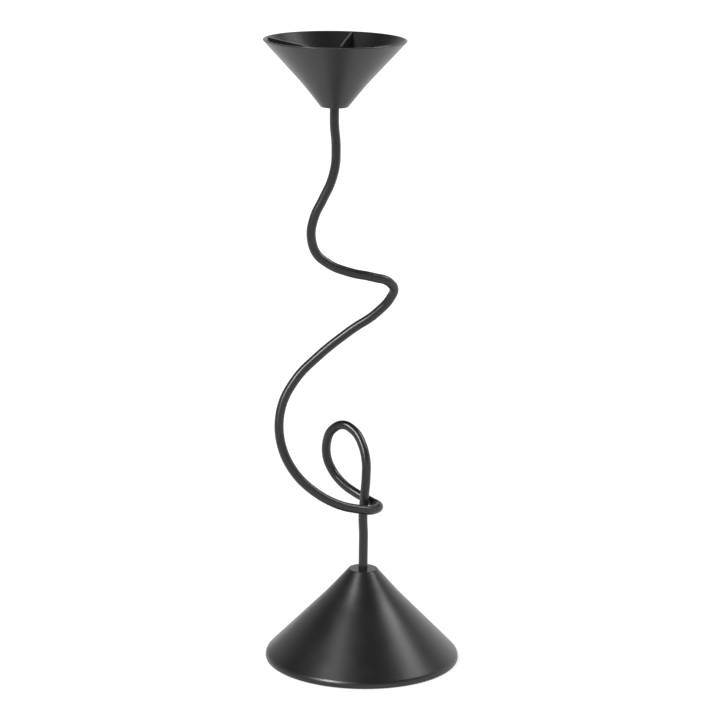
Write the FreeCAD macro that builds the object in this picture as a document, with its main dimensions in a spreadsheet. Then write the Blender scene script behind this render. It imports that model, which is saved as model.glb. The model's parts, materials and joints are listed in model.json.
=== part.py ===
"""Spiral candle holder of black painted steel.

A weighted cone foot, one bent rod that winds up from it, and a funnel cup with four upright
blades that grip a taper candle. Lengths are in millimetres, Z is up, the origin is the centre of
the face that the holder stands on, X runs to the viewer's right and Y away from the viewer.
"""
import FreeCAD, Part
import math
import os
import Sketcher

doc = FreeCAD.newDocument("spiral_candle_holder")

# Driving dimensions, one cell each
SIZES = [
    # whole holder
    ("overall_height", 300.0),
    ("cup_shift", 16.3),            # the cup's axis stands this far to the left of the foot's
    # foot shell, a spun cone
    ("foot_diameter", 93.4),
    ("foot_height", 45.0),
    ("foot_wall", 1.2),
    ("foot_disc_diameter", 13.8),   # small flat at the top of the cone
    ("waist_round", 150.0),         # soft bend where the cone turns a little steeper
    ("foot_disc_round", 0.4),
    ("lip_clearance", 0.4),         # the steel lip hangs this far above the table
    ("lip_height", 2.2),            # from the lip's edge to the corner below the cone
    ("lip_round", 0.5),
    ("shoulder_round", 2.0),        # inside the shell; the outside adds the wall
    # pieces inside the foot
    ("pad_inset", 2.6),             # the felt stops this far inside the plate's edge
    ("pad_thickness", 1.2),
    ("plate_thickness", 0.8),
    ("ballast_height", 7.0),
    ("ballast_bore", 18.0),
    ("foot_fit", 0.3),              # gap from the plate and the ballast to the shell
    # rod
    ("rod_diameter", 4.4),
    ("coil_reach", 27.0),
    # threaded ends and their fasteners
    ("tenon_diameter", 3.0),
    ("tenon_overhang", 0.8),
    ("hole_fit", 0.1),              # radial gap from a tenon to the holes round it
    ("thread_fit", 0.02),           # radial gap from a tenon to its nut
    ("washer_diameter", 7.0),
    ("washer_thickness", 0.5),
    ("nut_across_flats", 5.5),
    ("nut_height", 2.4),
    ("nut_chamfer", 0.4),
    # cup shell, a spun cone
    ("cup_diameter", 67.6),
    ("cup_height", 31.3),
    ("cup_wall", 1.0),
    ("cup_floor_diameter", 12.8),
    ("cup_floor_round", 0.8),
    ("flare_round", 120.0),         # soft bend where the cone starts to open wider
    ("cup_rim_round", 0.35),
    # blades that hold the candle
    ("candle_gap", 24.0),           # clear circle between the blades
    ("blade_thickness", 1.0),
    ("blade_rim_drop", 0.3),        # outer end of a blade's top edge, below the rim
    ("blade_fall", 3.8),            # the inner end lies this much lower again
    ("blade_round", 0.8),
    ("blade_fit", 0.05),            # gap from a blade to the cup's wall
]
BLADE_COUNT = 4
FIRST_BLADE_BEARING = 76.7          # degrees, anticlockwise from X

# Sharp corners of the two soft bends, as shares of the shell's width and of its height
WAIST_ACROSS, WAIST_UP = 0.37, 0.733
FLARE_ACROSS, FLARE_UP = 0.438, 0.339

# Route of the rod: how far right and how far back, as shares of the coil's reach, and how high,
# as a share of the height between the foot's disc and the cup's floor. The small loop is set out
# from the foot's axis and the wide coil from the cup's. The first and last runs are straight.
LOOP_SHARES = [
    (0, 0, 0),
    (0, 0, 0.07),
    (-0.014, 0.007, 0.117),
    (0.008, 0.011, 0.161),
    (0.03, 0.03, 0.201),
    (0.029, 0.096, 0.234),
    (-0.039, 0.244, 0.266),
    (-0.181, 0.415, 0.291),
    (-0.393, 0.556, 0.301),
    (-0.597, 0.659, 0.285),
    (-0.684, 0.711, 0.255),
    (-0.669, 0.696, 0.221),
    (-0.552, 0.63, 0.192),
    (-0.358, 0.498, 0.169),
    (-0.135, 0.375, 0.154),
    (0.1, 0.207, 0.144),
    (0.262, -0.03, 0.14),
    (0.129, -0.27, 0.14),
    (-0.097, -0.405, 0.147),
]
COIL_SHARES = [
    (0.217, -0.519, 0.158),
    (-0.232, -0.6, 0.188),
    (-0.594, -0.578, 0.228),
    (-0.828, -0.463, 0.276),
    (-0.905, -0.326, 0.325),
    (-0.842, -0.193, 0.373),
    (-0.612, -0.067, 0.422),
    (-0.209, 0.067, 0.47),
    (0.322, 0.152, 0.521),
    (0.777, 0.133, 0.561),
    (1.004, 0.104, 0.592),
    (1.073, 0.03, 0.615),
    (0.983, -0.081, 0.633),
    (0.684, -0.178, 0.646),
    (0.31, -0.226, 0.656),
    (-0.039, -0.244, 0.672),
    (-0.289, -0.23, 0.697),
    (-0.377, -0.181, 0.732),
    (-0.321, -0.133, 0.772),
    (-0.179, -0.089, 0.808),
    (-0.045, -0.052, 0.843),
    (0.027, -0.026, 0.879),
    (0.036, -0.007, 0.912),
    (0, 0, 0.975),
    (0, 0, 1),
]

sheet = doc.addObject("Spreadsheet::Sheet", "sizes")
for row, (alias, size) in enumerate(SIZES, start=1):
    sheet.set(f"A{row}", alias)
    sheet.set(f"B{row}", str(size))
    sheet.setAlias(f"B{row}", alias)
doc.recompute()

# Heights and slopes that several pieces share, as expressions on the sheet
SHOULDER = "(sizes.lip_clearance + sizes.lip_height)"
FOOT_RADIUS = "(sizes.foot_diameter / 2)"
WAIST_RADIUS = f"({FOOT_RADIUS} * {WAIST_ACROSS})"
WAIST_HEIGHT = f"(sizes.foot_height * {WAIST_UP})"
FOOT_SLOPE = f"atan(({WAIST_HEIGHT} - {SHOULDER}) / ({FOOT_RADIUS} - {WAIST_RADIUS}))"
TOP_SLOPE = (f"atan((sizes.foot_height - {WAIST_HEIGHT})"
             f" / ({WAIST_RADIUS} - sizes.foot_disc_diameter / 2))")
LIP_INSIDE = f"({FOOT_RADIUS} - sizes.foot_wall)"
PLATE_TOP = "(sizes.pad_thickness + sizes.plate_thickness)"
FLOOR_HEIGHT = "(sizes.overall_height - sizes.cup_height)"
CUP_RADIUS = "(sizes.cup_diameter / 2)"
CUP_FLOOR_RADIUS = "(sizes.cup_floor_diameter / 2)"
FLARE_RADIUS = f"({CUP_RADIUS} * {FLARE_ACROSS})"
FLARE_HEIGHT = f"(sizes.cup_height * {FLARE_UP})"
CUP_SLOPE = f"atan({FLARE_HEIGHT} / ({FLARE_RADIUS} - {CUP_FLOOR_RADIUS}))"
RIM_SLOPE = f"atan((sizes.cup_height - {FLARE_HEIGHT}) / ({CUP_RADIUS} - {FLARE_RADIUS}))"
TENON_RADIUS = "(sizes.tenon_diameter / 2)"
HOLE_RADIUS = f"({TENON_RADIUS} + sizes.hole_fit)"


def value(expression):
    """Number that an expression on the sheet gives."""
    result = sheet.evalExpression(expression)
    return float(getattr(result, "Value", result))


def new_body(label):
    body = doc.addObject("PartDesign::Body", label)
    body.Label = label
    return body


def place(piece, across="0", height="0"):
    """Put a piece's own origin at a place given by expressions."""
    piece.setExpression("Placement.Base.x", across)
    piece.setExpression("Placement.Base.z", height)


def upright_sketch(body, corners, bends=()):
    """Closed outline in the body's XZ plane, each corner a pair of expressions.

    Each bend is the number of a side and the sharp corner that this side rounds off as an arc.
    """
    sketch = body.newObject("Sketcher::SketchObject", body.Name + "_outline")
    plane = next(item for item in body.Origin.OriginFeatures if item.Role == "XZ_Plane")
    sketch.AttachmentSupport = [(plane, "")]
    sketch.MapMode = "FlatFace"
    points = [FreeCAD.Vector(value(x), value(z), 0) for x, z in corners]
    sharp = {side: FreeCAD.Vector(value(x), value(z), 0) for side, (x, z) in bends}
    ends = []
    for side, (start, end) in enumerate(zip(points, points[1:] + points[:1])):
        curve = Part.LineSegment(start, end)
        if side in sharp:
            middle = (start + end) / 2
            half_turn = math.atan2((sharp[side] - middle).Length, (start - middle).Length)
            share = math.cos(half_turn) / (1 + math.cos(half_turn))
            through = middle + (sharp[side] - middle) * share
            anticlockwise = (sharp[side] - start).cross(end - start).z > 0
            first, last = (start, end) if anticlockwise else (end, start)
            curve = Part.ArcOfCircle(first, through, last)
            ends.append((1, 2) if anticlockwise else (2, 1))
        else:
            ends.append((1, 2))
        sketch.addGeometry(curve, False)
    for side in range(len(corners)):
        following = (side + 1) % len(corners)
        kind = "Tangent" if following in sharp else "Coincident"
        sketch.addConstraint(
            Sketcher.Constraint(kind, side, ends[side][1], following, ends[following][0]))
    for index, (x, z) in enumerate(corners):
        for kind, expression, number in (("DistanceX", x, points[index].x),
                                         ("DistanceY", z, points[index].y)):
            constraint = sketch.addConstraint(
                Sketcher.Constraint(kind, -1, 1, index, ends[index][0], number))
            sketch.setExpression(f"Constraints[{constraint}]", expression)
    return sketch


def revolve(body, corners, bends=()):
    """Spin an outline once round the body's own Z axis."""
    sketch = upright_sketch(body, corners, bends)
    spun = body.newObject("PartDesign::Revolution", body.Name + "_spun")
    spun.Profile = sketch
    spun.ReferenceAxis = (sketch, ["V_Axis"])
    spun.Angle = 360
    doc.recompute()
    return spun


def nearest_edge(shape, kind, distance):
    """Name of the edge of one kind for which distance(edge) is least."""
    edges = [(distance(edge), f"Edge{number}") for number, edge in enumerate(shape.Edges, start=1)
             if isinstance(edge.Curve, kind)]
    return min(edges)[1]


def round_off(body, base, name, radius, edges):
    fillet = body.newObject("PartDesign::Fillet", body.Name + "_" + name)
    fillet.Base = (base, edges)
    fillet.setExpression("Radius", radius)
    doc.recompute()
    return fillet


def round_turned(body, base, name, radius, *places):
    """Fillet the circles of a turned solid that lie nearest to (radius, height) places."""
    edges = []
    for x, z in places:
        target = (value(x), value(z))
        edges.append(nearest_edge(base.Shape, Part.Circle, lambda edge: math.dist(
            (edge.Curve.Radius, edge.Curve.Center.z), target)))
    return round_off(body, base, name, radius, edges)


def foot_inside(height):
    """Largest radius inside the foot shell at a height, less the fit."""
    cone = (f"({FOOT_RADIUS} - ({height} - {SHOULDER}) / tan({FOOT_SLOPE})"
            f" - (sizes.foot_wall + sizes.foot_fit) / sin({FOOT_SLOPE}))")
    return f"min({LIP_INSIDE} - sizes.foot_fit; {cone})"


def along(corner, reach, slope):
    """Place that lies a signed reach down a slope from a corner."""
    x, z = corner
    return (f"({x} + {reach} * cos({slope}))", f"({z} - {reach} * sin({slope}))")


def make_base_cone():
    """Foot shell: a lip, a rounded shoulder, the cone and a flat disc with a hole for the rod.

    The cone's side bends softly at the waist.
    """
    body = new_body("base_cone")
    inner_shoulder = f"({SHOULDER} - sizes.foot_wall * tan(45 deg - {FOOT_SLOPE} / 2))"
    inner_disc = f"(sizes.foot_disc_diameter / 2 - sizes.foot_wall * tan({TOP_SLOPE} / 2))"
    under_disc = "(sizes.foot_height - sizes.foot_wall)"
    disc_edge = ("sizes.foot_disc_diameter / 2", "sizes.foot_height")
    middle = f"(({FOOT_SLOPE} + {TOP_SLOPE}) / 2)"
    half_bend = f"(({TOP_SLOPE} - {FOOT_SLOPE}) / 2)"
    wall = f"sizes.foot_wall / cos({half_bend})"
    waist = (WAIST_RADIUS, WAIST_HEIGHT)
    inner_waist = (f"({WAIST_RADIUS} - {wall} * sin({middle}))",
                   f"({WAIST_HEIGHT} - {wall} * cos({middle}))")
    reach = f"sizes.waist_round * tan({half_bend})"
    inner_reach = f"(sizes.waist_round + sizes.foot_wall) * tan({half_bend})"
    spun = revolve(body, [
        (FOOT_RADIUS, "sizes.lip_clearance"),
        (FOOT_RADIUS, SHOULDER),
        along(waist, reach, FOOT_SLOPE),
        along(waist, f"-{reach}", TOP_SLOPE),
        disc_edge,
        (HOLE_RADIUS, "sizes.foot_height"),
        (HOLE_RADIUS, under_disc),
        (inner_disc, under_disc),
        along(inner_waist, f"-{inner_reach}", TOP_SLOPE),
        along(inner_waist, inner_reach, FOOT_SLOPE),
        (LIP_INSIDE, inner_shoulder),
        (LIP_INSIDE, "sizes.lip_clearance"),
    ], [(2, waist), (8, inner_waist)])
    outside = round_turned(body, spun, "shoulder", "sizes.shoulder_round + sizes.foot_wall",
                           (FOOT_RADIUS, SHOULDER))
    inside = round_turned(body, outside, "inner_shoulder", "sizes.shoulder_round",
                          (LIP_INSIDE, inner_shoulder))
    top = round_turned(body, inside, "disc_edge", "sizes.foot_disc_round", disc_edge)
    round_turned(body, top, "lip", "sizes.lip_round", (FOOT_RADIUS, "sizes.lip_clearance"))
    return body


def make_base_pad():
    """Felt disc that the holder stands on."""
    pad = doc.addObject("Part::Cylinder", "base_pad")
    pad.setExpression("Radius", f"{foot_inside(PLATE_TOP)} - sizes.pad_inset")
    pad.setExpression("Height", "sizes.pad_thickness")
    return pad


def make_base_plate():
    """Steel disc pressed into the lip, between the felt and the weight."""
    plate = doc.addObject("Part::Cylinder", "base_plate")
    plate.setExpression("Radius", foot_inside(PLATE_TOP))
    plate.setExpression("Height", "sizes.plate_thickness")
    place(plate, height="sizes.pad_thickness")
    return plate


def make_ballast():
    """Cast iron ring whose side follows the inside of the foot's cone."""
    body = new_body("ballast")
    top = f"({PLATE_TOP} + sizes.ballast_height)"
    revolve(body, [
        ("sizes.ballast_bore / 2", PLATE_TOP),
        (foot_inside(PLATE_TOP), PLATE_TOP),
        (foot_inside(top), top),
        ("sizes.ballast_bore / 2", top),
    ])
    return body


def make_washer(label, across, height):
    """Flat washer with its lower face at the given height."""
    body = new_body(label)
    revolve(body, [
        (HOLE_RADIUS, "0"),
        ("sizes.washer_diameter / 2", "0"),
        ("sizes.washer_diameter / 2", "sizes.washer_thickness"),
        (HOLE_RADIUS, "sizes.washer_thickness"),
    ])
    place(body, across, height)
    return body


def make_nut(label, across, height):
    """Hexagon nut with turned corners, its lower face at the given height."""
    corner = "sizes.nut_across_flats / 2 / cos(30 deg)"
    prism = doc.addObject("Part::Prism", label + "_hexagon")
    prism.Polygon = 6
    prism.setExpression("Circumradius", corner)
    prism.setExpression("Height", "sizes.nut_height")
    body = new_body(label + "_turned")
    bore = f"({TENON_RADIUS} + sizes.thread_fit)"
    face = f"({corner} - sizes.nut_chamfer)"
    edge = "sizes.nut_chamfer * tan(30 deg)"
    revolve(body, [
        (bore, "0"),
        (face, "0"),
        (corner, edge),
        (corner, f"sizes.nut_height - {edge}"),
        (face, "sizes.nut_height"),
        (bore, "sizes.nut_height"),
    ])
    nut = doc.addObject("Part::Common", label)
    nut.Base = prism
    nut.Tool = body
    place(nut, across, height)
    return nut


def arc_between(start, heading, end):
    """Arc from start to end that leaves start along a heading."""
    chord = end - start
    direction = FreeCAD.Vector(chord).normalize()
    aside = (heading - direction * heading.dot(direction)).normalize()
    half_turn = heading.getAngle(chord)
    rise = aside * (chord.Length / 2 * math.tan(half_turn / 2))
    return Part.Arc(start, (start + end) / 2 + rise, end).toShape()


def biarc(start, heading, end, final):
    """Two arcs that share a tangent, from start along heading to end along final."""
    span = end - start
    square = 2 * (1 - heading.dot(final))
    linear = 2 * span.dot(heading + final)
    arm = 2 * span.dot(span) / (linear + math.sqrt(linear ** 2 + 4 * square * span.dot(span)))
    near = start + heading * arm
    far = end - final * arm
    middle = (near + far) / 2
    return [arc_between(start, heading, middle),
            arc_between(middle, (far - near).normalize(), end)]


def route_points():
    """Places that the rod's centre line passes, from the foot's disc to the cup's floor."""
    low = value("sizes.foot_height")
    rise = value(FLOOR_HEIGHT) - low
    reach = value("sizes.coil_reach")
    return [FreeCAD.Vector(axis + across * reach, back * reach, low + rise * up)
            for axis, shares in ((0, LOOP_SHARES), (-value("sizes.cup_shift"), COIL_SHARES))
            for across, back, up in shares]


def route_edges(points):
    """Straight run, biarcs through the places between, straight run."""
    upright = FreeCAD.Vector(0, 0, 1)
    headings = [upright]
    for before, here, after in zip(points[1:], points[2:], points[3:-1]):
        arriving = here - before
        leaving = after - here
        heading = arriving / arriving.Length ** 2 + leaving / leaving.Length ** 2
        headings.append(heading.normalize())
    headings.append(upright)
    bends = []
    for index, (heading, final) in enumerate(zip(headings, headings[1:]), start=1):
        bends += biarc(points[index], heading, points[index + 1], final)
    first = Part.LineSegment(points[0], points[1]).toShape()
    last = Part.LineSegment(points[-2], points[-1]).toShape()
    return [first] + bends + [last]


def least_gap(wire, diameter):
    """Smallest space between parts of the rod that are not neighbours along it."""
    count = int(wire.Length / diameter) * 4
    samples = wire.discretize(Number=count)
    step = wire.Length / (count - 1)
    apart = int(3 * diameter / step)
    nearest = min(samples[i].distanceToPoint(samples[j])
                  for i in range(count) for j in range(i + apart, count))
    return nearest - diameter


def make_stem():
    """Round rod on its bent route, with a turned-down tenon at each end."""
    edges = route_edges(route_points())
    route = doc.addObject("Part::Feature", "stem_route")
    route.Shape = Part.Wire(edges)
    section = doc.addObject("Part::Circle", "stem_section")
    section.setExpression("Radius", "sizes.rod_diameter / 2")
    place(section, height="sizes.foot_height")
    rod = doc.addObject("Part::Sweep", "stem_rod")
    rod.Sections = [section]
    rod.Spine = (route, [])
    rod.Solid = True
    rod.Frenet = False
    doc.recompute()

    grip = "(sizes.washer_thickness + sizes.nut_height + sizes.tenon_overhang)"
    lower = doc.addObject("Part::Cylinder", "stem_lower_tenon")
    lower.setExpression("Radius", TENON_RADIUS)
    lower.setExpression("Height", f"sizes.foot_wall + {grip}")
    place(lower, height=f"sizes.foot_height - sizes.foot_wall - {grip}")
    upper = doc.addObject("Part::Cylinder", "stem_upper_tenon")
    upper.setExpression("Radius", TENON_RADIUS)
    upper.setExpression("Height", f"sizes.cup_wall + {grip}")
    place(upper, "-sizes.cup_shift", FLOOR_HEIGHT)
    stem = doc.addObject("Part::MultiFuse", "stem")
    stem.Shapes = [rod, lower, upper]
    doc.recompute()

    diameter = value("sizes.rod_diameter")
    expected = math.pi * diameter ** 2 / 4 * route.Shape.Length
    radii = [edge.Curve.Radius for edge in edges if isinstance(edge.Curve, Part.Circle)]
    print(f"rod: length {route.Shape.Length:.1f}, volume {rod.Shape.Volume:.1f} of {expected:.1f}")
    print(f"rod: tightest arc {min(radii):.2f}, least gap {least_gap(route.Shape, diameter):.2f}")
    return stem


def inner_flare(depth):
    """Corner of the cup's bend, moved inwards by a depth below the outer face."""
    middle = f"(({CUP_SLOPE} + {RIM_SLOPE}) / 2)"
    shift = f"{depth} / cos(({CUP_SLOPE} - {RIM_SLOPE}) / 2)"
    return (f"({FLARE_RADIUS} - {shift} * sin({middle}))",
            f"({FLARE_HEIGHT} + {shift} * cos({middle}))")


def make_cup_cone():
    """Cup shell: a flat floor with a hole for the rod, and the cone up to a rounded rim."""
    body = new_body("cup_cone")
    inner_rim = f"({CUP_RADIUS} - sizes.cup_wall / sin({RIM_SLOPE}))"
    inner_floor = f"({CUP_FLOOR_RADIUS} - sizes.cup_wall * tan({CUP_SLOPE} / 2))"
    half_bend = f"(({CUP_SLOPE} - {RIM_SLOPE}) / 2)"
    reach = f"sizes.flare_round * tan({half_bend})"
    inner_reach = f"(sizes.flare_round + sizes.cup_wall) * tan({half_bend})"
    flare = (FLARE_RADIUS, FLARE_HEIGHT)
    inner = inner_flare("sizes.cup_wall")
    rim = (CUP_RADIUS, "sizes.cup_height")
    rim_inside = (inner_rim, "sizes.cup_height")
    spun = revolve(body, [
        (HOLE_RADIUS, "0"),
        (CUP_FLOOR_RADIUS, "0"),
        along(flare, f"-{reach}", f"(-{CUP_SLOPE})"),
        along(flare, reach, f"(-{RIM_SLOPE})"),
        rim,
        rim_inside,
        along(inner, inner_reach, f"(-{RIM_SLOPE})"),
        along(inner, f"-{inner_reach}", f"(-{CUP_SLOPE})"),
        (inner_floor, "sizes.cup_wall"),
        (HOLE_RADIUS, "sizes.cup_wall"),
    ], [(2, flare), (6, inner)])
    floor = round_turned(body, spun, "floor_edge", "sizes.cup_floor_round",
                         (CUP_FLOOR_RADIUS, "0"))
    round_turned(body, floor, "rim", "sizes.cup_rim_round", rim, rim_inside)
    place(body, "-sizes.cup_shift", FLOOR_HEIGHT)
    return body


def make_candle_fin(number):
    """Upright blade from the cup's wall in to the candle, its top edge falling inwards."""
    body = new_body(f"candle_fin_{number}")
    gap = "(sizes.candle_gap / 2)"
    wall = "(sizes.cup_wall + sizes.blade_fit)"
    top = "(sizes.cup_height - sizes.blade_rim_drop)"
    outer = (f"({CUP_RADIUS} - sizes.blade_rim_drop / tan({RIM_SLOPE})"
             f" - {wall} / sin({RIM_SLOPE}))")
    foot = f"(({gap} - {CUP_FLOOR_RADIUS} + {wall} / sin({CUP_SLOPE})) * tan({CUP_SLOPE}))"
    inner_top = f"({top} - sizes.blade_fall)"
    sketch = upright_sketch(
        body, [(gap, foot), inner_flare(wall), (outer, top), (gap, inner_top)])
    blade = body.newObject("PartDesign::Pad", body.Name + "_pad")
    blade.Profile = sketch
    blade.setExpression("Length", "sizes.blade_thickness")
    blade.Midplane = True
    doc.recompute()
    corner = (value(gap), value(inner_top))
    edge = nearest_edge(blade.Shape, Part.Line, lambda edge: sum(
        math.dist((end.X, end.Z), corner) for end in edge.Vertexes))
    round_off(body, blade, "corner", "sizes.blade_round", [edge])
    bearing = FIRST_BLADE_BEARING + (number - 1) * 360 / BLADE_COUNT
    body.Placement.Rotation = FreeCAD.Rotation(FreeCAD.Vector(0, 0, 1), bearing)
    place(body, "-sizes.cup_shift", FLOOR_HEIGHT)
    doc.recompute()
    return body


under_disc = "(sizes.foot_height - sizes.foot_wall - sizes.washer_thickness)"
over_floor = f"({FLOOR_HEIGHT} + sizes.cup_wall)"
pieces = [
    make_base_cone(),
    make_base_pad(),
    make_base_plate(),
    make_ballast(),
    make_washer("base_washer", "0", under_disc),
    make_nut("base_nut", "0", f"{under_disc} - sizes.nut_height"),
    make_stem(),
    make_cup_cone(),
    make_washer("cup_washer", "-sizes.cup_shift", over_floor),
    make_nut("cup_nut", "-sizes.cup_shift", f"{over_floor} + sizes.washer_thickness"),
]
pieces += [make_candle_fin(number) for number in range(1, BLADE_COUNT + 1)]
doc.recompute()

for item in doc.Objects:
    if "Invalid" in item.State or "Error" in item.State:
        raise RuntimeError(f"{item.Label} did not compute")
for piece in pieces:
    if piece.Shape.isNull() or not piece.Shape.isValid() or not piece.Shape.Solids:
        raise RuntimeError(f"{piece.Label} has no sound solid")

os.makedirs("parts", exist_ok=True)
for piece in pieces:
    piece.Shape.exportStep(f"parts/{piece.Label}.step")
    box = piece.Shape.optimalBoundingBox()
    print(f"{piece.Label}: volume {piece.Shape.Volume:.1f}, x {box.XMin:.2f} to {box.XMax:.2f},"
          f" y {box.YMin:.2f} to {box.YMax:.2f}, z {box.ZMin:.2f} to {box.ZMax:.2f}")
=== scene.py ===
"""Looks of a spiral candle holder of black painted steel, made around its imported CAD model.

The file is laid out as an add-on and run as a script. Each operator finishes one group of pieces,
and main() calls them in order. Lengths are in metres, Z is up and the holder stands on Z = 0.
"""
import bpy
import json
import math
from bpy.props import FloatProperty, FloatVectorProperty, PointerProperty
from mathutils import Matrix, Vector

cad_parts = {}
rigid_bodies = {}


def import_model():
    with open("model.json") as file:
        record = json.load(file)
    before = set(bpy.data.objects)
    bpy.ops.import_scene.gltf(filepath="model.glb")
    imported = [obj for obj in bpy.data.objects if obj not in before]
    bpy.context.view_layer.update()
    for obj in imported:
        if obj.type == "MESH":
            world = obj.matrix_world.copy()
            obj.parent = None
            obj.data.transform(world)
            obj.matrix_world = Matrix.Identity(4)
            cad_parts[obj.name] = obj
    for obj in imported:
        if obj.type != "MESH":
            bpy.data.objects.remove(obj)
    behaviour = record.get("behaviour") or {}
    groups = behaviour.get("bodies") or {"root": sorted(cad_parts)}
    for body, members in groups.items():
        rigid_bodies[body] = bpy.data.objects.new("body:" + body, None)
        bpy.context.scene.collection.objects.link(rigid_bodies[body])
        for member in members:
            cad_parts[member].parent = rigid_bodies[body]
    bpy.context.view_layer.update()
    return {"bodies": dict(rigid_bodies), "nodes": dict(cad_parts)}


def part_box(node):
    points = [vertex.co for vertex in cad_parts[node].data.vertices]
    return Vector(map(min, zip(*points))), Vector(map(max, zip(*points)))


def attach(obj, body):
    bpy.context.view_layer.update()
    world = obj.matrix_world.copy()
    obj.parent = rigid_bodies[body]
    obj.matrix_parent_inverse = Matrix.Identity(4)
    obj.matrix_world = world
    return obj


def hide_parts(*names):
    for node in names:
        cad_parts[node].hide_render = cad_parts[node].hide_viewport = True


bl_info = {
    "name": "Spiral Candle Holder",
    "version": (1, 0, 0),
    "blender": (4, 5, 0),
    "location": "3D View > Sidebar > Candle Holder",
    "description": "Finishes, felt and studio for a spiral candle holder of black steel",
    "category": "Object",
}

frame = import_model()
NODES = frame["nodes"]
BODY = next(iter(frame["bodies"]))

CUP_AXIS = sum(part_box("cup_cone"), Vector()) / 2
FIN_NODES = sorted(name for name in NODES if name.startswith("candle_fin"))

# Where the soft boxes stand as seen from the foot, and how wide they look from there
RIGHT_BOX_TOWARDS = (0.579, 0.102, 0.809)
RIGHT_BOX_DISTANCE = 0.95
LEFT_BOX_TOWARDS = (-0.517, -0.517, 0.682)
LEFT_BOX_DISTANCE = 4.0
BOX_HALF_ANGLE = math.radians(10)

FELT_VERTICES = 96
FELT_INSET_SHARES = (0.03, 0.17, 0.2, 0.2, 0.2)
FELT_RIM_SHARE = 0.999
TABLE_WIDTH = 16
# Out to GLOW_NEAR from the foot the table glows less, a painted contact shadow, and it is fully bright
# by GLOW_FAR.
GLOW_NEAR = 0.1
GLOW_FAR = 0.9
# Towards the camera the glow fades over FRONT_FAR, painted shade on the table.
FRONT_FAR = 1.0


# Sizes and colours that a user would change

class PaintSettings(bpy.types.PropertyGroup):
    colour: FloatVectorProperty(
        name="Colour", description="Colour of the satin powder coat",
        subtype="COLOR", size=3, min=0, max=1, default=(0.0078, 0.0078, 0.0082))
    roughness: FloatProperty(
        name="Roughness", description="Roughness of the coat, from mirror to chalk",
        min=0, max=1, default=0.33)
    dimple_width: FloatProperty(
        name="Dimple width", description="Distance from one soft dimple of the coat to the next",
        unit="LENGTH", min=0.0001, default=0.0016)
    dimple_depth: FloatProperty(
        name="Dimple depth", description="Depth of the coat's soft dimples",
        unit="LENGTH", min=0, default=0.000006)
    ring_pitch: FloatProperty(
        name="Ring pitch", description="Distance between the faint rings that spinning leaves",
        unit="LENGTH", min=0.0001, default=0.006)
    ring_depth: FloatProperty(
        name="Ring depth", description="Depth of the faint rings that spinning leaves",
        unit="LENGTH", min=0, default=0.00002)


class MetalSettings(bpy.types.PropertyGroup):
    zinc: FloatVectorProperty(
        name="Zinc", description="Colour of the zinc plated steel",
        subtype="COLOR", size=3, min=0, max=1, default=(0.56, 0.57, 0.58))
    iron: FloatVectorProperty(
        name="Iron", description="Colour of the cast weight",
        subtype="COLOR", size=3, min=0, max=1, default=(0.10, 0.10, 0.105))


class FeltSettings(bpy.types.PropertyGroup):
    colour: FloatVectorProperty(
        name="Colour", description="Colour of the pressed felt",
        subtype="COLOR", size=3, min=0, max=1, default=(0.022, 0.022, 0.024))
    edge_round: FloatProperty(
        name="Edge round", description="How far the cut edge is rounded by wear",
        unit="LENGTH", min=0, default=0.0003)


class StageSettings(bpy.types.PropertyGroup):
    floor_shade: FloatProperty(
        name="Floor shade", description="Lightness of the floor", min=0, max=1, default=0.3)
    # The glow near the foot is kept low: a painted contact shadow on the table.
    painted_shadow_glow: FloatProperty(
        name="Floor glow", description="Light that comes through the pale table near the foot",
        min=0, default=0.78)
    far_glow: FloatProperty(
        name="Far glow", description="Light that comes through the table far from the foot",
        min=0, default=1.05)
    # The glow fades towards the front: painted shade on the table.
    front_painted_shade: FloatProperty(
        name="Front share", description="Share of the glow that is left a metre in front",
        min=0, max=1, default=0.2)
    backdrop: FloatProperty(
        name="Backdrop", description="Brightness of the pale walls round the table",
        min=0, default=1.0)
    ceiling: FloatProperty(
        name="Ceiling", description="Brightness of the dark room above", min=0, default=0.03)
    right_light: FloatProperty(
        name="Right light", description="Strength of the soft box at the right",
        min=0, default=1.05)
    left_light: FloatProperty(
        name="Left light", description="Strength of the soft box at the left",
        min=0, default=2.9)
    lens: FloatProperty(
        name="Lens", description="Focal length on a 36 mm wide sensor, in millimetres",
        min=1, default=135.85)
    camera_place: FloatVectorProperty(
        name="Camera place", description="Where the camera stands", subtype="TRANSLATION",
        size=3, default=(-0.00286, -1.250, 0.4525))
    camera_tilt: FloatProperty(
        name="Camera tilt", description="How far the camera looks down",
        subtype="ANGLE", default=math.radians(13.68))
    camera_roll: FloatProperty(
        name="Camera roll", description="How far the camera leans to its left",
        subtype="ANGLE", default=math.radians(0.8))


class HolderSettings(bpy.types.PropertyGroup):
    paint: PointerProperty(type=PaintSettings, name="Paint", description="Black powder coat")
    metal: PointerProperty(type=MetalSettings, name="Metal", description="Bare metal pieces")
    felt: PointerProperty(type=FeltSettings, name="Felt", description="Felt under the foot")
    stage: PointerProperty(type=StageSettings, name="Stage", description="Studio and camera")


# Node helpers

def add(tree, kind, settings=None, inputs=None):
    """New node with its settings, and each input given a value or the socket that feeds it."""
    node = tree.nodes.new(kind)
    for name, value in (settings or {}).items():
        setattr(node, name, value)
    for name, value in (inputs or {}).items():
        if isinstance(value, bpy.types.NodeSocket):
            tree.links.new(value, node.inputs[name])
        else:
            node.inputs[name].default_value = value
    return node


def math_node(tree, operation, first, second=0.0):
    node = add(tree, "ShaderNodeMath", {"operation": operation}, {0: first, 1: second})
    return node.outputs[0]


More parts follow.
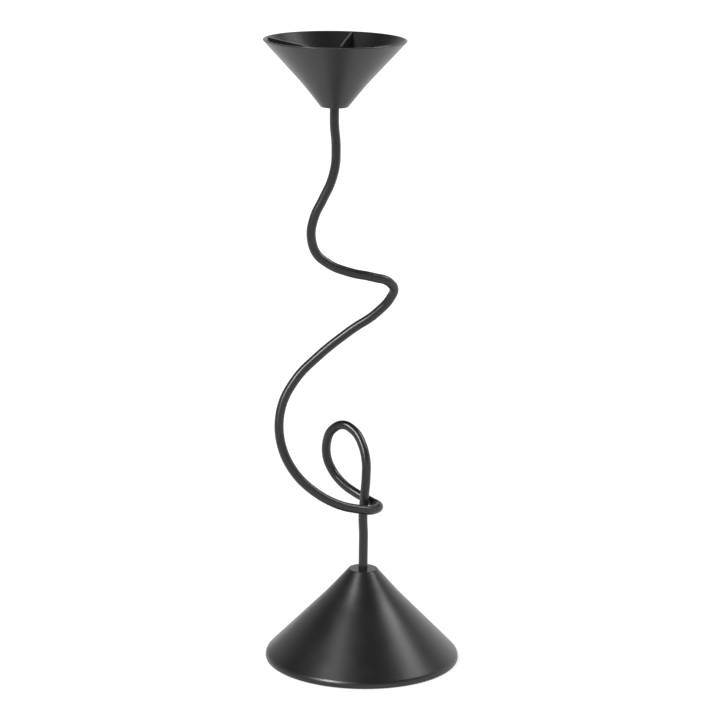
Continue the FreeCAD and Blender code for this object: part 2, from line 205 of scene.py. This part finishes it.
def new_group(name, inputs, outputs):
    """Shader node group with named sockets: (tree, input node, output node)."""
    tree = bpy.data.node_groups.new(name, "ShaderNodeTree")
    for label, kind, value in inputs:
        socket = tree.interface.new_socket(label, in_out="INPUT", socket_type=kind)
        if value is not None:
            socket.default_value = value
    for label, kind in outputs:
        tree.interface.new_socket(label, in_out="OUTPUT", socket_type=kind)
    return tree, tree.nodes.new("NodeGroupInput"), tree.nodes.new("NodeGroupOutput")


def dimples_group():
    """Soft dimples of a baked coat or a cast skin, as a height in metres."""
    tree, given, made = new_group(
        "Soft dimples",
        [("Vector", "NodeSocketVector", None), ("Width", "NodeSocketFloat", 0.001),
         ("Depth", "NodeSocketFloat", 0.00001)],
        [("Height", "NodeSocketFloat")])
    scale = math_node(tree, "DIVIDE", 1.0, given.outputs["Width"])
    noise = add(tree, "ShaderNodeTexNoise", None, {
        "Vector": given.outputs["Vector"], "Scale": scale, "Detail": 2.0, "Roughness": 0.45})
    height = math_node(tree, "MULTIPLY", noise.outputs["Fac"], given.outputs["Depth"])
    tree.links.new(height, made.inputs["Height"])
    return tree


def rings_group():
    """Uneven rings round the Z axis, as a height in metres."""
    tree, given, made = new_group(
        "Turned rings",
        [("Vector", "NodeSocketVector", None), ("Pitch", "NodeSocketFloat", 0.001),
         ("Depth", "NodeSocketFloat", 0.00001)],
        [("Height", "NodeSocketFloat")])
    flat = add(tree, "ShaderNodeVectorMath", {"operation": "MULTIPLY"},
               {0: given.outputs["Vector"], 1: (1, 1, 0)})
    radius = add(tree, "ShaderNodeVectorMath", {"operation": "LENGTH"}, {0: flat.outputs[0]})
    turns = math_node(tree, "DIVIDE", radius.outputs["Value"], given.outputs["Pitch"])
    noise = add(tree, "ShaderNodeTexNoise", {"noise_dimensions": "1D"},
                {"W": turns, "Scale": 1.0, "Detail": 1.5, "Roughness": 0.4})
    height = math_node(tree, "MULTIPLY", noise.outputs["Fac"], given.outputs["Depth"])
    tree.links.new(height, made.inputs["Height"])
    return tree


def clouds_group():
    """Cloudy change from one value to another."""
    tree, given, made = new_group(
        "Cloudy change",
        [("Vector", "NodeSocketVector", None), ("Width", "NodeSocketFloat", 0.02),
         ("Low", "NodeSocketFloat", 0.0), ("High", "NodeSocketFloat", 1.0)],
        [("Value", "NodeSocketFloat")])
    scale = math_node(tree, "DIVIDE", 1.0, given.outputs["Width"])
    noise = add(tree, "ShaderNodeTexNoise", None, {
        "Vector": given.outputs["Vector"], "Scale": scale, "Detail": 3.0, "Roughness": 0.5})
    spread = add(tree, "ShaderNodeMapRange", None, {
        "Value": noise.outputs["Fac"], "From Min": 0.3, "From Max": 0.7,
        "To Min": given.outputs["Low"], "To Max": given.outputs["High"]})
    tree.links.new(spread.outputs["Result"], made.inputs["Value"])
    return tree


def use_group(tree, group, inputs):
    node = add(tree, "ShaderNodeGroup", {"node_tree": group}, inputs)
    return node.outputs[0]


GROUP_MAKERS = {"Soft dimples": dimples_group, "Turned rings": rings_group,
                "Cloudy change": clouds_group}


def group(name):
    return bpy.data.node_groups.get(name) or GROUP_MAKERS[name]()


def new_material(name, centre=(0, 0, 0)):
    """Material with its shader and object coordinates from a centre: (material, tree, shader, place)."""
    material = bpy.data.materials.new(name)
    material.use_nodes = True
    tree = material.node_tree
    shader = next(node for node in tree.nodes if node.type == "BSDF_PRINCIPLED")
    texture = add(tree, "ShaderNodeTexCoord")
    mapping = add(tree, "ShaderNodeMapping", None, {
        "Vector": texture.outputs["Object"], "Location": tuple(-value for value in centre)})
    return material, tree, shader, mapping.outputs["Vector"]


def set_normal(tree, shader, heights):
    """Bump from the sum of heights in metres."""
    total = heights[0]
    for height in heights[1:]:
        total = math_node(tree, "ADD", total, height)
    bump = add(tree, "ShaderNodeBump", None, {"Strength": 1.0, "Distance": 1.0, "Height": total})
    tree.links.new(bump.outputs["Normal"], shader.inputs["Normal"])


def tinted(tree, place, colour, width, change):
    """Colour that drifts a little lighter and darker over the surface."""
    factor = use_group(tree, group("Cloudy change"), {
        "Vector": place, "Width": width, "Low": 0.0, "High": 1.0})
    mix = add(tree, "ShaderNodeMix", {"data_type": "RGBA"}, {"Factor": factor})
    mix.inputs[6].default_value = (*(value * (1 - change) for value in colour), 1)
    mix.inputs[7].default_value = (*(value * (1 + change) for value in colour), 1)
    return mix.outputs[2]


def black_coat(name, paint, centre, rings):
    """Satin black powder coat on a spun shell, a rod or a blade."""
    material, tree, shader, place = new_material(name, centre)
    colour = tinted(tree, place, paint.colour, 0.018, 0.12)
    tree.links.new(colour, shader.inputs["Base Color"])
    roughness = use_group(tree, group("Cloudy change"), {
        "Vector": place, "Width": 0.009,
        "Low": paint.roughness - 0.02, "High": paint.roughness + 0.02})
    tree.links.new(roughness, shader.inputs["Roughness"])
    heights = [use_group(tree, group("Soft dimples"), {
        "Vector": place, "Width": paint.dimple_width, "Depth": paint.dimple_depth})]
    if rings:
        heights.append(use_group(tree, group("Turned rings"), {
            "Vector": place, "Pitch": paint.ring_pitch, "Depth": paint.ring_depth}))
    set_normal(tree, shader, heights)
    return material


def zinc_plate(name, colour, centre):
    """Dull zinc over turned steel."""
    material, tree, shader, place = new_material(name, centre)
    shader.inputs["Metallic"].default_value = 1.0
    tree.links.new(tinted(tree, place, colour, 0.003, 0.1), shader.inputs["Base Color"])
    roughness = use_group(tree, group("Cloudy change"), {
        "Vector": place, "Width": 0.002, "Low": 0.34, "High": 0.48})
    tree.links.new(roughness, shader.inputs["Roughness"])
    set_normal(tree, shader, [
        use_group(tree, group("Turned rings"), {
            "Vector": place, "Pitch": 0.00018, "Depth": 0.000004}),
        use_group(tree, group("Soft dimples"), {
            "Vector": place, "Width": 0.0004, "Depth": 0.000002})])
    return material


def cast_iron(name, colour):
    """Rough grey iron as it leaves the sand."""
    material, tree, shader, place = new_material(name)
    shader.inputs["Metallic"].default_value = 0.6
    tree.links.new(tinted(tree, place, colour, 0.006, 0.3), shader.inputs["Base Color"])
    roughness = use_group(tree, group("Cloudy change"), {
        "Vector": place, "Width": 0.003, "Low": 0.62, "High": 0.82})
    tree.links.new(roughness, shader.inputs["Roughness"])
    set_normal(tree, shader, [
        use_group(tree, group("Soft dimples"), {
            "Vector": place, "Width": 0.0012, "Depth": 0.0003}),
        use_group(tree, group("Soft dimples"), {
            "Vector": place, "Width": 0.0003, "Depth": 0.00006})])
    return material


def pressed_felt(name, colour):
    """Dense black felt with short fibres lying every way."""
    material, tree, shader, place = new_material(name)
    shader.inputs["Sheen Weight"].default_value = 0.06
    shader.inputs["Sheen Roughness"].default_value = 0.4
    shader.inputs["Specular IOR Level"].default_value = 0.2
    tree.links.new(tinted(tree, place, colour, 0.0015, 0.35), shader.inputs["Base Color"])
    roughness = use_group(tree, group("Cloudy change"), {
        "Vector": place, "Width": 0.002, "Low": 0.88, "High": 1.0})
    tree.links.new(roughness, shader.inputs["Roughness"])
    heights = []
    for turn in (0.3, 1.5, 2.6):
        fibre = add(tree, "ShaderNodeMapping", None, {
            "Vector": place, "Rotation": (0, 0, turn), "Scale": (1, 0.25, 1)})
        heights.append(use_group(tree, group("Soft dimples"), {
            "Vector": fibre.outputs["Vector"], "Width": 0.00012, "Depth": 0.00002}))
    set_normal(tree, shader, heights)
    return material


def give(material, *names):
    """Put a finish on CAD nodes."""
    for name in names:
        for slot in NODES[name].material_slots:
            slot.material = material


# Modelling helpers

def settle(piece, name, material):
    """Name a finished piece, apply its place, give it its finish and let it ride on the body."""
    piece.name = name
    piece.data.name = name
    bpy.ops.object.transform_apply(location=True, rotation=True, scale=True)
    piece.data.materials.clear()
    piece.data.materials.append(material)
    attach(piece, BODY)


def select_faces(piece, wanted):
    """In edit mode, select just the faces that wanted(face) accepts."""
    bpy.ops.mesh.select_all(action="DESELECT")
    bpy.ops.object.mode_set(mode="OBJECT")
    for face in piece.data.polygons:
        face.select = wanted(face)
    bpy.ops.object.mode_set(mode="EDIT")


class HolderOperator:
    bl_options = {"REGISTER", "UNDO"}


class HOLDER_OT_paint(HolderOperator, bpy.types.Operator):
    """Give the foot, the rod, the cup and the blades their satin black coat"""
    bl_idname = "candle_holder.paint"
    bl_label = "Black coat"

    def execute(self, context):
        paint = context.scene.candle_holder.paint
        cup = (CUP_AXIS.x, 0, 0)
        give(black_coat("foot_black", paint, (0, 0, 0), True), "base_cone")
        give(black_coat("cup_black", paint, cup, True), "cup_cone")
        give(black_coat("rod_black", paint, (0, 0, 0), False), "stem")
        give(black_coat("blade_black", paint, cup, False), *FIN_NODES)
        return {"FINISHED"}


class HOLDER_OT_metal(HolderOperator, bpy.types.Operator):
    """Finish the nuts, the washers, the plate and the weight"""
    bl_idname = "candle_holder.metal"
    bl_label = "Bare metal"

    def execute(self, context):
        metal = context.scene.candle_holder.metal
        give(zinc_plate("zinc_foot", metal.zinc, (0, 0, 0)),
             "base_plate", "base_nut", "base_washer")
        give(zinc_plate("zinc_cup", metal.zinc, (CUP_AXIS.x, 0, 0)), "cup_nut", "cup_washer")
        give(cast_iron("iron", metal.iron), "ballast")
        return {"FINISHED"}


class HOLDER_OT_felt(HolderOperator, bpy.types.Operator):
    """Model the felt disc under the foot, with its cut edge softened by wear"""
    bl_idname = "candle_holder.felt"
    bl_label = "Felt disc"

    def execute(self, context):
        felt = context.scene.candle_holder.felt
        low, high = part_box("base_pad")
        radius = (high.x - low.x) / 2
        thickness = high.z - low.z
        bpy.ops.object.select_all(action="DESELECT")
        bpy.ops.mesh.primitive_cylinder_add(
            vertices=FELT_VERTICES, radius=radius, depth=thickness, end_fill_type="NGON",
            location=(0, 0, low.z + thickness / 2))
        piece = context.active_object
        bpy.ops.object.mode_set(mode="EDIT")
        select_faces(piece, lambda face: abs(face.normal.z) > 0.5)
        for share in FELT_INSET_SHARES:
            bpy.ops.mesh.inset(thickness=radius * share)
        bpy.ops.mesh.poke()
        bpy.ops.mesh.select_all(action="DESELECT")
        bpy.ops.object.mode_set(mode="OBJECT")
        for edge in piece.data.edges:
            ends = [piece.data.vertices[index].co for index in edge.vertices]
            rim = all(math.hypot(end.x, end.y) > radius * FELT_RIM_SHARE for end in ends)
            edge.select = rim and abs(ends[0].z - ends[1].z) < thickness / 2
        bpy.ops.object.mode_set(mode="EDIT")
        bpy.ops.mesh.bevel(offset=felt.edge_round, segments=3, affect="EDGES")
        bpy.ops.object.mode_set(mode="OBJECT")
        bpy.ops.object.shade_smooth()
        settle(piece, "felt_pad", pressed_felt("felt_black", felt.colour))
        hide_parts("base_pad")
        return {"FINISHED"}


class HOLDER_OT_stage(HolderOperator, bpy.types.Operator):
    """Build the pale table, the room, the two soft boxes and the camera"""
    bl_idname = "candle_holder.stage"
    bl_label = "Stage"

    def execute(self, context):
        stage = context.scene.candle_holder.stage
        self.make_floor(stage)
        self.make_room(context.scene, stage)
        self.make_light("right_box", RIGHT_BOX_TOWARDS, RIGHT_BOX_DISTANCE, stage.right_light)
        self.make_light("left_box", LEFT_BOX_TOWARDS, LEFT_BOX_DISTANCE, stage.left_light)
        self.make_camera(context.scene, stage)
        context.scene.view_settings.view_transform = "Standard"
        return {"FINISHED"}

    def make_floor(self, stage):
        bpy.ops.object.select_all(action="DESELECT")
        bpy.ops.mesh.primitive_plane_add(size=TABLE_WIDTH)
        floor = bpy.context.active_object
        floor.name = "table_top"
        material = bpy.data.materials.new("pale_table")
        material.use_nodes = True
        tree = material.node_tree
        shader = tree.nodes["Principled BSDF"]
        shade = (stage.floor_shade,) * 3
        shader.inputs["Base Color"].default_value = (*shade, 1)
        shader.inputs["Roughness"].default_value = 0.9
        shader.inputs["Specular IOR Level"].default_value = 0.0
        texture = add(tree, "ShaderNodeTexCoord")
        away = add(tree, "ShaderNodeVectorMath", {"operation": "LENGTH"},
                   {0: texture.outputs["Object"]})
        # Painted contact shadow: the glow is lower near the foot.
        glow = add(tree, "ShaderNodeMapRange", {"interpolation_type": "SMOOTHSTEP"}, {
            "Value": away.outputs["Value"], "From Min": GLOW_NEAR, "From Max": GLOW_FAR,
            "To Min": stage.painted_shadow_glow, "To Max": stage.far_glow})
        axes = add(tree, "ShaderNodeSeparateXYZ", None, {0: texture.outputs["Object"]})
        # Painted shade: the glow fades towards the front.
        front = add(tree, "ShaderNodeMapRange", None, {
            "Value": axes.outputs["Y"], "From Min": -GLOW_NEAR, "From Max": -FRONT_FAR,
            "To Min": 1.0, "To Max": stage.front_painted_shade})
        lit = math_node(tree, "MULTIPLY", glow.outputs["Result"], front.outputs["Result"])
        tree.links.new(lit, shader.inputs["Emission Color"])
        shader.inputs["Emission Strength"].default_value = 1.0
        floor.data.materials.append(material)

    def make_room(self, scene, stage):
        """Pale walls that fade into a dark ceiling, dimmer at the left, over a pale floor."""
        world = bpy.data.worlds.new("room")
        scene.world = world
        world.use_nodes = True
        tree = world.node_tree
        background = tree.nodes["Background"]
        texture = add(tree, "ShaderNodeTexCoord")
        axes = add(tree, "ShaderNodeSeparateXYZ", None, {0: texture.outputs["Generated"]})
        wall = add(tree, "ShaderNodeMapRange", {"interpolation_type": "SMOOTHSTEP"}, {
            "Value": axes.outputs["Z"], "From Min": 0.64, "From Max": 0.30,
            "To Min": 0.0, "To Max": 1.0})
        side = add(tree, "ShaderNodeMapRange", {"interpolation_type": "SMOOTHSTEP"}, {
            "Value": axes.outputs["X"], "From Min": -0.5, "From Max": 0.1,
            "To Min": 0.55, "To Max": 1.12})
        lit = math_node(tree, "MULTIPLY", wall.outputs["Result"], side.outputs["Result"])
        lit = math_node(tree, "MULTIPLY", lit, stage.backdrop)
        lit = math_node(tree, "ADD", lit, stage.ceiling)
        below = math_node(tree, "LESS_THAN", axes.outputs["Z"], 0.0)
        total = math_node(tree, "MAXIMUM", lit, math_node(tree, "MULTIPLY", below, 1.2))
        background.inputs["Color"].default_value = (1, 1, 1, 1)
        tree.links.new(total, background.inputs["Strength"])

    def make_light(self, name, towards, distance, strength):
        """Round soft box in a direction from the foot, 20 degrees wide as seen from there."""
        data = bpy.data.lights.new(name, "AREA")
        data.shape = "DISK"
        data.size = 2 * distance * math.tan(BOX_HALF_ANGLE)
        data.energy = strength * math.pi * distance ** 2
        light = bpy.data.objects.new(name, data)
        bpy.context.scene.collection.objects.link(light)
        light.rotation_euler = Vector(towards).to_track_quat("Z", "Y").to_euler()
        light.location = Vector(towards) * distance

    def make_camera(self, scene, stage):
        data = bpy.data.cameras.new("camera")
        data.lens = stage.lens
        camera = bpy.data.objects.new("camera", data)
        scene.collection.objects.link(camera)
        camera.matrix_world = (Matrix.Translation(stage.camera_place)
                               @ Matrix.Rotation(math.pi / 2 - stage.camera_tilt, 4, "X")
                               @ Matrix.Rotation(stage.camera_roll, 4, "Z"))
        scene.camera = camera


class HOLDER_PT_panel(bpy.types.Panel):
    """Steps and settings of the candle holder"""
    bl_idname = "HOLDER_PT_panel"
    bl_label = "Candle Holder"
    bl_space_type = "VIEW_3D"
    bl_region_type = "UI"
    bl_category = "Candle Holder"

    def draw(self, context):
        holder = context.scene.candle_holder
        for step in STEPS:
            self.layout.operator(step.bl_idname)
        for settings in (holder.paint, holder.metal, holder.felt, holder.stage):
            box = self.layout.box()
            for name in settings.bl_rna.properties.keys():
                if name not in ("rna_type", "name"):
                    box.prop(settings, name)


SETTINGS = (PaintSettings, MetalSettings, FeltSettings, StageSettings, HolderSettings)
STEPS = (HOLDER_OT_paint, HOLDER_OT_metal, HOLDER_OT_felt, HOLDER_OT_stage)


def register():
    for cls in (*SETTINGS, *STEPS, HOLDER_PT_panel):
        bpy.utils.register_class(cls)
    bpy.types.Scene.candle_holder = PointerProperty(type=HolderSettings)


def unregister():
    del bpy.types.Scene.candle_holder
    for cls in reversed((*SETTINGS, *STEPS, HOLDER_PT_panel)):
        bpy.utils.unregister_class(cls)


def main():
    """Run every step."""
    register()
    bpy.ops.candle_holder.paint()
    bpy.ops.candle_holder.metal()
    bpy.ops.candle_holder.felt()
    bpy.ops.candle_holder.stage()


if __name__ == "__main__":
    main()
